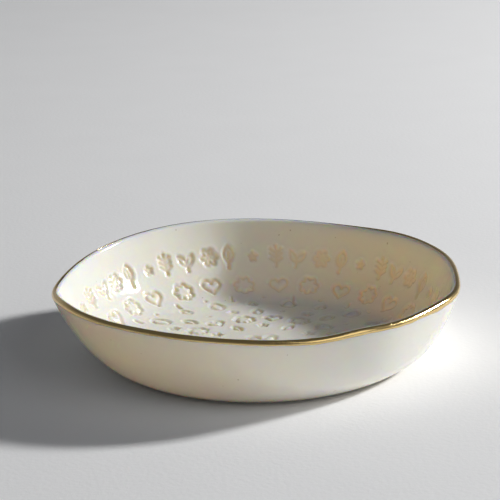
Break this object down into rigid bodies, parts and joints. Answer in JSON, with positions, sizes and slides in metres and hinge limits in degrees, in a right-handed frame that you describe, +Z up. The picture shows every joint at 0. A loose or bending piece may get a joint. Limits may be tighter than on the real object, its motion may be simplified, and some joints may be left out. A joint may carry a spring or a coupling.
{
  "type": "ring dish",
  "caption": "Shallow hand-shaped porcelain dish for rings, with a wavy rim pinched to a point at one end, a clear gloss glaze, and a gold band over the lip.",
  "frame": {"origin": "centre of the flat foot, on the surface that the dish stands on", "axes": "+Z up, out of the dish's mouth; -X towards the pinched end of the rim; -Y towards the viewer of the picture"},
  "size_m": [0.09, 0.0886, 0.0195],
  "materials": {
    "porcelain": "white porcelain, bare and matt where it isn't glazed",
    "glaze": "clear gloss",
    "gold_lustre": "bright fired gold"
  },
  "bodies": {
    "root": {"porcelain_body": "porcelain", "clear_glaze": "glaze", "gold_rim": "gold_lustre"}
  },
  "joints": []
}
